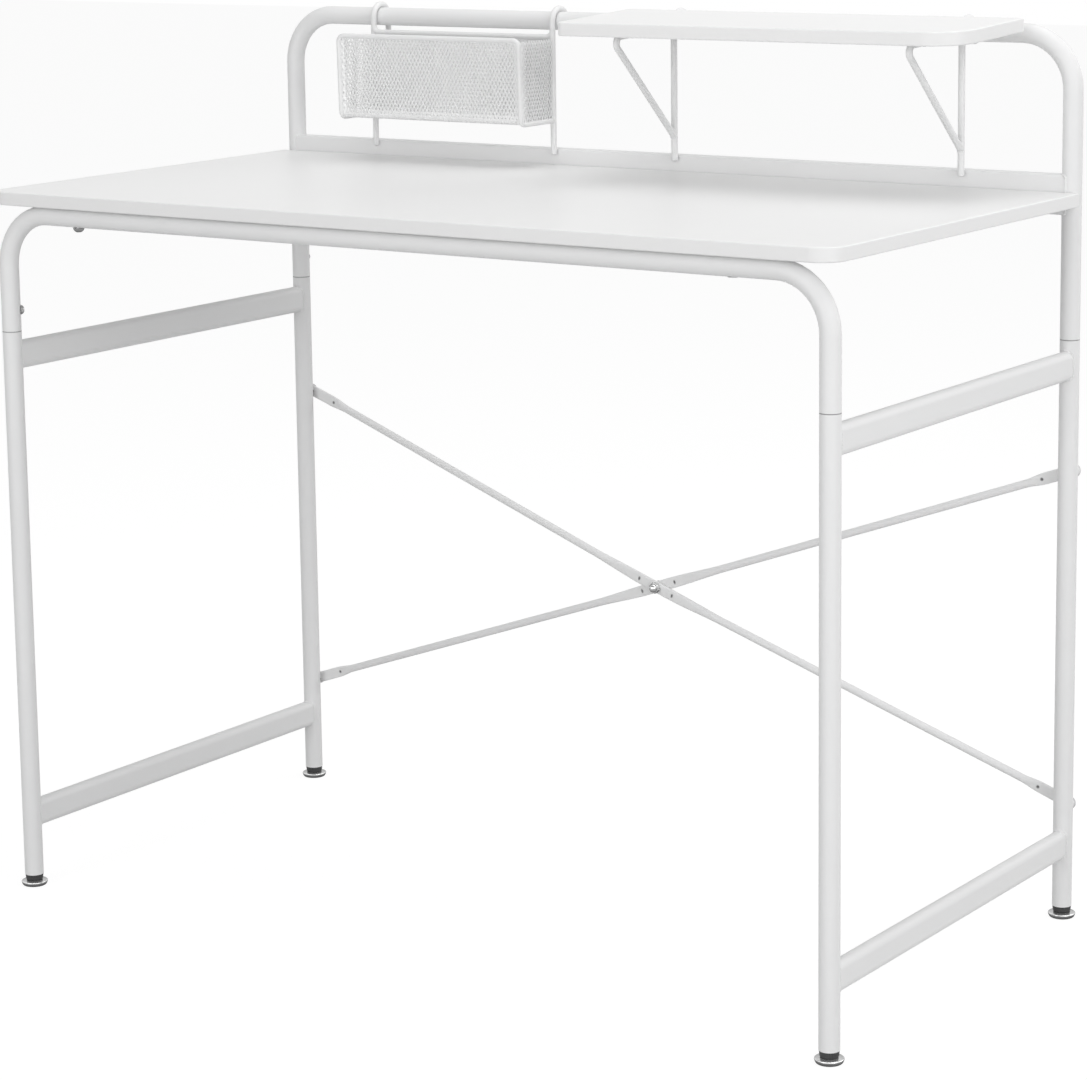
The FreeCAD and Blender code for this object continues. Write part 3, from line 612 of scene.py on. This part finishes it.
seamScrew = {"head": (10.5 * mm, 3.8 * mm), "shank": (4.0 * mm, 5.5 * mm), "socket": (3.0 * mm, 1.8 * mm),
             "height": 624.0 * mm, "seat": 10.05 * mm, "spin": 0.4}
seamPlaces = []
for side, depthSide in corners.values():
    out = Vector((-side, 1, 0)).normalized() if depthSide < 0 else Vector((0, 1, 0))
    axis = Vector((side * legX, depthSide * legY, seamScrew["height"]))
    seamPlaces.append((axis + out * seamScrew["seat"], out, seamScrew["spin"]))
setBolts("seamScrews", socketBolt("seamScrew", *seamScrew["head"], *seamScrew["shank"], *seamScrew["socket"]),
         seamPlaces, "frame", "plated_steel", ["joint_screws"])

railBolt = {"head": (12.0 * mm, 5.0 * mm), "shank": (6.0 * mm, 29.0 * mm), "socket": (4.0 * mm, 2.4 * mm),
            "seat": (-390.0 * mm, -legY, 715.95 * mm), "spin": 0.2}
setBolts("frontRailBolt", socketBolt("frontRailBolt", *railBolt["head"], *railBolt["shank"], *railBolt["socket"]),
         [(railBolt["seat"], (0, 0, -1), railBolt["spin"])], "frame", "plated_steel", ["desk_front_bolt_left"])

braceBolt = {"head": (14.0 * mm, 2.6 * mm), "shank": (6.0 * mm, 12.2 * mm), "socket": (4.0 * mm, 1.6 * mm),
             "heights": (465.8 * mm, 117.7 * mm), "seat": 258.35 * mm, "nutSeat": 253.05 * mm,
             "middle": (0, 245.35 * mm, 289.95 * mm), "middleHead": (13.0 * mm, 3.5 * mm),
             "middleShank": (6.0 * mm, 13.0 * mm), "middleSocket": (4.0 * mm, 2.4 * mm), "middleSpin": 0.1}
endSpots = [(side * legX, height) for side in sides.values() for height in braceBolt["heights"]]
endPlaces = [((x, braceBolt["seat"], z), (0, 1, 0), 3 * x + z) for x, z in endSpots]
setBolts("braceEndBolts", socketBolt("braceEndBolt", *braceBolt["head"], *braceBolt["shank"], *braceBolt["socket"]),
         endPlaces, "frame", "white_steel", ["brace_end_bolts"])
setBolts("braceMiddleBolt",
         socketBolt("braceMiddleBolt", *braceBolt["middleHead"], *braceBolt["middleShank"], *braceBolt["middleSocket"]),
         [(braceBolt["middle"], (0, 1, 0), braceBolt["middleSpin"])], "frame", "plated_steel", ["brace_centre_bolt"])


# rivet nuts in the back walls of the rear legs, as (height, radius) in mm from the seat

rivetNut = ((-7.0, 3.1), (-7.0, 3.9), (-6.6, 4.3), (-0.05, 4.3), (0.0, 4.9), (0.15, 5.0), (0.95, 5.0), (1.15, 4.8),
            (1.15, 3.5), (0.8, 3.1))
setBolts("braceRivetNuts", ringMesh("rivetNut", [(high * mm, wide * mm) for high, wide in rivetNut], loop=True),
         [((x, braceBolt["nutSeat"], z), (0, 1, 0), 0.0) for x, z in endSpots], "frame", "plated_steel",
         ["brace_end_nuts"])

capNut = {"across": 11.0 * mm, "base": 5.0 * mm, "dome": (9.5 * mm, 4.5 * mm), "bore": 3.1 * mm, "corner": 1.155,
          "chamfer": 0.97, "seat": (0, 237.25 * mm, 289.95 * mm), "spin": 0.26}


def makeCapNut():
    half, base, bore = capNut["across"] / 2, capNut["base"], capNut["bore"]
    domeWide, domeHigh = capNut["dome"][0] / 2, capNut["dome"][1]
    chamfer, corner = half * capNut["chamfer"], half * capNut["corner"]
    rings = [(base * 0.9, bore * 0.9), (base * 0.88, bore), (0, bore)]
    rings += [(0, chamfer, half), (base * 0.1, corner, half), (base * 0.84, corner, half), (base, chamfer, half)]
    rings += [(base + 0.05 * mm, domeWide)]
    rings += [(base + 0.1 * mm + height, wide) for height, wide in domeRings(domeWide, domeHigh, 9)]
    mesh = ringMesh("braceCapNut", rings, smoothAngle=30)
    setBolts("braceCapNut", mesh, [(capNut["seat"], (0, -1, 0), capNut["spin"])], "frame", "plated_steel",
             ["brace_cap_nut"])


makeCapNut()

woodScrew = {"tab": (8.0 * mm, 3.0 * mm, 4.0 * mm, 13.0 * mm, 4.4 * mm, 1.4 * mm, (2.1 * mm, 0.5 * mm)),
             "tabX": (-320.0 * mm, 0, 320.0 * mm), "tabY": 214.7 * mm, "tabZ": 732.95 * mm,
             "shelf": (6.5 * mm, 1.0 * mm, 3.5 * mm, 15.5 * mm, 3.6 * mm, 0.6 * mm, (1.7 * mm, 0.4 * mm)),
             "shelfBack": (26.0 * mm, 76.0 * mm), "shelfDown": 7.1 * mm}
setBolts("deskTabScrews", socketBolt("deskTabScrew", *woodScrew["tab"]),
         [((x, woodScrew["tabY"], woodScrew["tabZ"]), (0, 0, -1), 0.7 * x + 0.3) for x in woodScrew["tabX"]],
         "frame", "plated_steel", ["desk_tab_screws"])


def underShelf(x, back, down):
    # point below the sloping board, from its rear lower edge
    lean = hanger["slope"]
    y, z = hanger["shelfRear"]
    return (x, y - back * math.cos(lean) + down * math.sin(lean), z - back * math.sin(lean) - down * math.cos(lean))


offShelf = (0, math.sin(hanger["slope"]), -math.cos(hanger["slope"]))
setBolts("shelfScrews", socketBolt("shelfScrew", *woodScrew["shelf"]),
         [(underShelf(x, back, woodScrew["shelfDown"]), offShelf, 9 * x + 7 * back)
          for x in hanger["shelfX"] for back in woodScrew["shelfBack"]], "shelf", "plated_steel", ["shelf_screws"])
print("screws, bolts and nuts done")


# levelling feet: chrome disc as shares of its radius and height, stepped plastic leg end as (radius, height) in mm

foot = {"disc": ((0.05, 0.0), (0.80, 0.0), (0.86, 0.03), (0.91, 0.12), (0.95, 0.28), (0.98, 0.46), (1.0, 0.64),
                 (0.995, 0.73), (0.965, 0.80), (0.90, 0.845), (0.80, 0.89), (0.70, 0.93), (0.60, 0.97), (0.50, 1.0),
                 (0.30, 0.99), (0.29, 0.35)),
        "discR": 14.0 * mm, "discHigh": 6.0 * mm,
        "end": ((4.1, 6.25), (7.7, 6.2), (8.4, 6.35), (8.85, 6.75), (9.05, 7.4), (9.15, 8.25), (9.05, 8.4),
                (9.05, 8.55), (9.22, 8.7), (9.5, 10.9), (9.65, 11.6), (9.8, 11.95), (9.8, 12.25), (8.65, 12.28),
                (8.65, 34.2), (4.1, 34.3))}


def makeFeet():
    for label, (side, depthSide) in corners.items():
        spot = Vector((side * legX, depthSide * legY, 0))
        rings = [(high * foot["discHigh"], wide * foot["discR"]) for wide, high in foot["disc"]]
        mesh = ringMesh("footDisc", rings, 72)
        mesh.transform(Matrix.Translation(spot))
        addPiece("footDisc_" + label, mesh, "disc_" + label, "chrome", ["foot_disc_" + label])
        rings = [(high * mm, wide * mm) for wide, high in foot["end"]]
        mesh = ringMesh("legEnd", rings, 64, loop=True)
        mesh.transform(Matrix.Translation(spot))
        addPiece("legEnd_" + label, mesh, "frame", "black_plastic", ["leg_insert_" + label])


makeFeet()
print("feet done")


# brace rods: round bar, pressed flat at the middle and the ends, with punch marks that are dented and darkened with
# painted shade

brace = {"rod": 4.2 * mm, "flat": (6.2 * mm, 2.0 * mm), "endFlat": 38.0 * mm, "endEase": 24.0 * mm,
         "middleFlat": 17.0 * mm, "middleEase": 70.0 * mm, "straightEnd": 35.0 * mm, "straightMiddle": 25.0 * mm,
         "sag": 1.8 * mm, "endPlane": 256.3 * mm, "middles": {"front": 239.3 * mm, "rear": 243.3 * mm},
         "slackBend": 60.0 * mm, "arcSteps": 8, "step": 0.8 * mm, "around": 48, "squareness": 2.2,
         "punchEnd": (42.5 * mm, 1.8 * mm, 1.8 * mm), "punchMiddle": (22.3 * mm, 1.3 * mm, 2.4 * mm),
         "punchDeep": 1.0 * mm, "punchSlope": 1.1, "punchReach": 1.6, "punchFace": 0.3, "pitShadeCore": 0.5, "pitShadeFade": 0.8}


def smooth(value):
    value = min(max(value, 0.0), 1.0)
    return value * value * (3 - 2 * value)


def roundedPath(points, bends, step):
    # straight runs with arcs at the corners, as evenly spaced points
    path = [points[0]]
    for before, at, after, bend in zip(points, points[1:], points[2:], bends):
        back, ahead = (before - at).normalized(), (after - at).normalized()
        half = back.angle(ahead) / 2
        reach = bend / math.tan(half)
        centre = at + (back + ahead).normalized() * (bend / math.sin(half))
        start, end = at + back * reach - centre, at + ahead * reach - centre
        sweep = start.angle(end)
        for turn in range(brace["arcSteps"] + 1):
            share = turn / brace["arcSteps"]
            swing = start * math.sin((1 - share) * sweep) + end * math.sin(share * sweep)
            path.append(centre + swing / math.sin(sweep))
    path.append(points[-1])
    spaced, carry = [path[0]], 0.0
    for a, b in zip(path, path[1:]):
        length = (b - a).length
        place = step - carry
        while place < length - step * 0.3:
            spaced.append(a + (b - a) * (place / length))
            place += step
        carry = length - (place - step)
    spaced.append(path[-1])
    return spaced


def bracePath(label, side):
    # flat ends behind both legs, the rod bows a little towards the crossing
    tip = brace["flat"][0]
    high, low = braceBolt["heights"]
    ends = [Vector((side * legX, brace["endPlane"], high)), Vector((-side * legX, brace["endPlane"], low))]
    heading = (ends[1] - ends[0]).normalized()
    crossing = (ends[0] + ends[1]) / 2
    crossing.y = brace["middles"][label]
    crossing.z -= brace["sag"]
    endRun, middleRun = heading * brace["straightEnd"], heading * brace["straightMiddle"]
    stops = [ends[0] - heading * tip, ends[0] + endRun, crossing - middleRun, crossing + middleRun,
             ends[1] - endRun, ends[1] + heading * tip]
    return roundedPath(stops, [brace["slackBend"]] * 4, brace["step"])


def braceSection(run, total, punches):
    # outline of the rod at one place, as (across, through, painted shade of a punch mark)
    tip, thin = brace["flat"]
    fromEnd = min(run, total - run)
    fromMiddle = abs(run - total / 2)
    flat = max(1 - smooth((fromEnd - brace["endFlat"]) / brace["endEase"]),
               1 - smooth((fromMiddle - brace["middleFlat"]) / brace["middleEase"]))
    wide = brace["rod"] + (tip - brace["rod"]) * flat
    thick = brace["rod"] + (thin - brace["rod"]) * flat
    if fromEnd < tip:
        wide *= math.sqrt(max(1 - (1 - fromEnd / tip) ** 2, 0.0))
    power = 2 + brace["squareness"] * flat
    outline = []
    for turn in range(brace["around"]):
        angle = 2 * math.pi * turn / brace["around"]
        c, s = math.cos(angle), math.sin(angle)
        x = c * wide
        y = math.copysign(max(1 - abs(c) ** power, 0.0) ** (1 / power), s) * thick
        pit = 0.0
        for place, long, across in punches:
            near = math.hypot((run - place) / long, x / across)
            if near < brace["punchReach"] and abs(y) > thick * brace["punchFace"]:
                y -= math.copysign(brace["punchDeep"] * (1 - smooth(near / brace["punchSlope"])), y)
                # painted shade: the punch mark is darkened as well as dented
                pit = 1 - smooth((near - brace["pitShadeCore"]) / brace["pitShadeFade"])
        outline.append((x, y, pit))
    return outline


def makeBrace(label, side):
    path = bracePath(label, side)
    lengths = [0.0]
    for a, b in zip(path, path[1:]):
        lengths.append(lengths[-1] + (b - a).length)
    total = lengths[-1]
    endIn, *endSize = brace["punchEnd"]
    middleOff, *middleSize = brace["punchMiddle"]
    punches = [(endIn, *endSize), (total - endIn, *endSize),
               (total / 2 - middleOff, *middleSize), (total / 2 + middleOff, *middleSize)]
    up = Vector((0, 0, 1))
    points, faces, paintedShades = [], [], []
    for index, (spot, run) in enumerate(zip(path, lengths)):
        along = (path[min(index + 1, len(path) - 1)] - path[max(index - 1, 0)]).normalized()
        wideDir = (up - along * up.dot(along)).normalized()
        thickDir = along.cross(wideDir)
        for x, y, pit in braceSection(run, total, punches):
            points.append(spot + wideDir * x + thickDir * y)
            paintedShades.append(pit)
    around = brace["around"]
    for row in range(len(path) - 1):
        low, high = row * around, (row + 1) * around
        for turn in range(around):
            after = (turn + 1) % around
            faces.append((low + turn, low + after, high + after, high + turn))
    mesh = meshOf(points, (), faces, "braceRod_" + label)
    # painted shade amount for the punch marks, read by the white coat
    giveFloats(mesh, "pit", paintedShades)
    work = bmesh.new()
    work.from_mesh(mesh)
    bmesh.ops.remove_doubles(work, verts=work.verts, dist=1e-6)
    bmesh.ops.holes_fill(work, edges=[edge for edge in work.edges if edge.is_boundary])
    bmesh.ops.recalc_face_normals(work, faces=work.faces)
    work.to_mesh(mesh)
    work.free()
    mesh.shade_smooth()
    mesh.set_sharp_from_angle(angle=math.radians(50))
    addPiece("braceRod_" + label, mesh, "frame", "white_steel", ["brace_rod_" + label])


makeBrace("front", -1)
makeBrace("rear", 1)
print("brace rods done")


# weld beads, laid along lines by one tree

weld = {"bead": 1.25 * mm, "wireBead": 0.8 * mm, "ripple": 0.5, "rippleScale": 420.0, "spacing": 0.45,
        "tubeSteps": 40, "wireSteps": 20, "rails": (576.0 * mm, 78.7 * mm), "rail": (7.5 * mm, 15.0 * mm),
        "bar": (9.6 * mm, 20.0 * mm, 2.5 * mm, 747.0 * mm), "strutLow": 787.0 * mm, "strutRun": (0, 122.0, -111.2),
        "strutHigh": (5.0 * mm, 3.55 * mm), "basketWireY": 220.0 * mm}


def weldTree():
    tree, gate = openTree("weldBeads", {"Bead": "Float", "Ripple": "Float"})
    pen = Sock(tree)
    line = pen.node("GeometryNodeMeshToCurve", None, {0: gate["Geometry"]})
    spacing = gate["Bead"] * weld["spacing"]
    line = pen.node("GeometryNodeResampleCurve", {"mode": "LENGTH"}, {0: line, "Length": spacing})
    ring = pen.node("GeometryNodeCurvePrimitiveCircle", None, {"Resolution": 8, "Radius": gate["Bead"]})
    bead = pen.node("GeometryNodeCurveToMesh", None, {0: line, "Profile Curve": ring, "Fill Caps": True})
    place = pen.node("GeometryNodeInputPosition")
    lump = pen.node("ShaderNodeTexNoise", None, {"Vector": place, "Scale": weld["rippleScale"], "Detail": 1.0})
    push = (lump - 0.5) * gate["Ripple"] * gate["Bead"] * 2
    bead = pen.node("GeometryNodeSetPosition", None,
                    {0: bead, "Offset": pen.node("GeometryNodeInputNormal").scaled(push)})
    bead = pen.node("GeometryNodeSetShadeSmooth", None, {0: bead})
    closeTree(tree, bead, finishes["white_steel"])
    return tree


def railLoop(side, depthSide, height):
    # line where an oval rail meets a leg
    wide, tall = weld["rail"]
    loop = []
    for step in range(weld["tubeSteps"]):
        angle = 2 * math.pi * step / weld["tubeSteps"]
        x = wide * math.cos(angle)
        z = wide * math.sin(angle) + math.copysign(tall - wide, math.sin(angle))
        loop.append((side * legX + x, depthSide * (legY - math.sqrt(tubeR ** 2 - x ** 2)), height + z))
    return loop


def barLoop(side):
    # line where the back bar meets an upright
    deep, tall, bend, height = weld["bar"]
    loop = []
    for step in range(weld["tubeSteps"]):
        angle = 2 * math.pi * (step + 0.5) / weld["tubeSteps"]
        y = bend * math.cos(angle) + math.copysign(deep - bend, math.cos(angle))
        z = bend * math.sin(angle) + math.copysign(tall - bend, math.sin(angle))
        loop.append((side * (legX - math.sqrt(tubeR ** 2 - y ** 2)), legY + y, height + z))
    return loop


def wireLoop(post, postR, wireR, spot, along):
    # line where a wire that runs along a direction meets the front of an upright post
    x, postY = post
    along = Vector(along).normalized()
    across = Vector((1, 0, 0)).cross(along)
    loop = []
    for step in range(weld["wireSteps"]):
        angle = 2 * math.pi * step / weld["wireSteps"]
        point = Vector((x + wireR * math.cos(angle), *spot)) + across * wireR * math.sin(angle)
        off = min(abs(point.x - x), postR * 0.92)
        loop.append(point + along * ((postY - math.sqrt(postR ** 2 - off ** 2) - point.y) / along.y))
    return loop


def loopMesh(loops):
    points, edges = [], []
    for loop in loops:
        start = len(points)
        points += loop
        edges += [(start + step, start + (step + 1) % len(loop)) for step in range(len(loop))]
    return meshOf(points, edges)


def makeWelds():
    tree = weldTree()
    frameLoops = [railLoop(side, depthSide, height) for side, depthSide in corners.values() for height in weld["rails"]]
    frameLoops += [barLoop(side) for side in sides.values()]
    shelfLoops = []
    shelfY, rod = hanger["shelfY"], hanger["shelfRod"]
    for x in hanger["shelfX"]:
        shelfLoops.append(wireLoop((x, shelfY), rod, rod, (shelfY, weld["strutLow"]), weld["strutRun"]))
        underBoard = underShelf(x, *weld["strutHigh"])[1:]
        shelfLoops.append(wireLoop((x, shelfY), rod, rod, underBoard, (0, 1, math.tan(hanger["slope"]))))
    basketLoops = [wireLoop((x, hanger["basketY"]), hanger["basketRod"], hanger["basketWire"],
                            (weld["basketWireY"], net["low"]), (0, 1, 0)) for x in hanger["basketX"]]
    for body, loops, bead in (("frame", frameLoops, weld["bead"]), ("shelf", shelfLoops, weld["wireBead"]),
                              ("basket", basketLoops, weld["wireBead"])):
        mesh = grow(body + "Welds", tree, loopMesh(loops), {"Bead": bead, "Ripple": weld["ripple"]})
        addPiece(body + "Welds", mesh, body, "white_steel")


makeWelds()
print("weld beads done")


# rounded tips on the cut ends of the hanging rods

tip = {"foot": (-0.4 * mm, 0.98), "swell": 1.005, "high": 1.5 * mm, "low": 762.0 * mm,
       "shelfTail": (256.8 * mm, 893.5 * mm), "basketTail": (256.55 * mm, 889.5 * mm)}


def makeTips():
    down = (0, 0, -1)
    for body in ("shelf", "basket"):
        radius = hanger[body + "Rod"]
        rim = radius * tip["swell"]
        footHigh, footShare = tip["foot"]
        rings = [(footHigh, radius * footShare), (0, rim)] + domeRings(rim, tip["high"], 6)[1:]
        ends = ((hanger[body + "Y"], tip["low"]), tip[body + "Tail"])
        places = [((x, y, z), down, 0.0) for x in hanger[body + "X"] for y, z in ends]
        setBolts(body + "RodTips", ringMesh(body + "Tip", rings, 32), places, body, "white_steel")


makeTips()
print("rod tips done")


# camera

lookout = {"place": (1.9025, -2.7543, 1.1134), "yaw": 34.403, "pitch": 9.982, "roll": 0.768, "focus": 3310.9,
           "shift": -0.12, "frameWide": 1087.0, "sensor": 36.0, "clipEnd": 60.0}


def makeCamera():
    yaw, pitch, roll = (math.radians(lookout[key]) for key in ("yaw", "pitch", "roll"))
    ahead = Vector((-math.sin(yaw) * math.cos(pitch), math.cos(yaw) * math.cos(pitch), -math.sin(pitch)))
    right = Vector((math.cos(yaw), math.sin(yaw), 0))
    down = ahead.cross(right)
    tiltRight = right * math.cos(roll) + down * math.sin(roll)
    tiltDown = down * math.cos(roll) - right * math.sin(roll)
    data = bpy.data.cameras.new("deskCamera")
    data.sensor_fit = "HORIZONTAL"
    data.sensor_width = lookout["sensor"]
    data.lens = lookout["focus"] * lookout["sensor"] / lookout["frameWide"]
    data.shift_y = lookout["shift"]
    data.clip_end = lookout["clipEnd"]
    camera = bpy.data.objects.new("deskCamera", data)
    turn = Matrix((tiltRight, -tiltDown, -ahead)).transposed().to_4x4()
    camera.matrix_world = Matrix.Translation(lookout["place"]) @ turn
    scene.collection.objects.link(camera)
    scene.camera = camera


makeCamera()


# stage and light

stage = {"size": 14.0, "floor": (0.60, 0.60, 0.60, 1), "keep": 0.78, "glow": 1.18, "world": 0.30, "aim": (0, 0, 0.55),
         "lamps": {
    "right": ((3.4, -1.2, 1.6), 47.0, 2.4),
    "front": ((-0.6, -4.4, 1.5), 66.0, 2.6),
    "corner": ((2.4, -3.6, 1.8), 18.0, 2.6),
    "top": ((0.2, 0.3, 3.4), 41.0, 2.4),
    "back": ((2.4, 2.4, 2.2), 28.0, 2.4)}}


def seenByEye(pen):
    path = pen.node("ShaderNodeLightPath").socket.node
    eye, gloss, through = (Sock(pen.tree, path.outputs[key])
                           for key in ("Is Camera Ray", "Is Glossy Ray", "Is Transmission Ray"))
    return eye.atLeast(gloss).atLeast(through)


def makeStage():
    size = stage["size"]
    square = [(-size, -size, 0), (size, -size, 0), (size, size, 0), (-size, size, 0)]
    mesh = meshOf(square, (), [(0, 1, 2, 3)], "floor")
    floor = bpy.data.objects.new("floor", mesh)
    scene.collection.objects.link(floor)
    paper = bpy.data.materials.new("floorPaper")
    paper.use_nodes = True
    tree = paper.node_tree
    tree.nodes.clear()
    pen = Sock(tree)
    lit = pen.node("ShaderNodeBsdfDiffuse", None, {"Color": stage["floor"]})
    glow = pen.node("ShaderNodeEmission", None, {"Color": (1, 1, 1, 1), "Strength": stage["glow"]})
    mixed = pen.node("ShaderNodeMixShader", None, {0: seenByEye(pen) * stage["keep"], 1: lit, 2: glow})
    last = tree.nodes.new("ShaderNodeOutputMaterial")
    tree.links.new(mixed.socket, last.inputs["Surface"])
    mesh.materials.append(paper)

    world = bpy.data.worlds.new("studio")
    scene.world = world
    world.use_nodes = True
    tree = world.node_tree
    tree.nodes.clear()
    pen = Sock(tree)
    seen = seenByEye(pen)
    sky = pen.node("ShaderNodeBackground", None, {
        "Color": (1, 1, 1, 1), "Strength": seen + (1 - seen) * stage["world"]})
    last = tree.nodes.new("ShaderNodeOutputWorld")
    tree.links.new(sky.socket, last.inputs["Surface"])

    for label, (place, power, wide) in stage["lamps"].items():
        data = bpy.data.lights.new(label + "Light", "AREA")
        data.energy = power
        data.size = wide
        lamp = bpy.data.objects.new(label + "Light", data)
        lamp.location = place
        lamp.rotation_euler = (Vector(stage["aim"]) - Vector(place)).to_track_quat("-Z", "Y").to_euler()
        scene.collection.objects.link(lamp)


makeStage()
scene.view_settings.view_transform = "Standard"
print("stage and camera done")
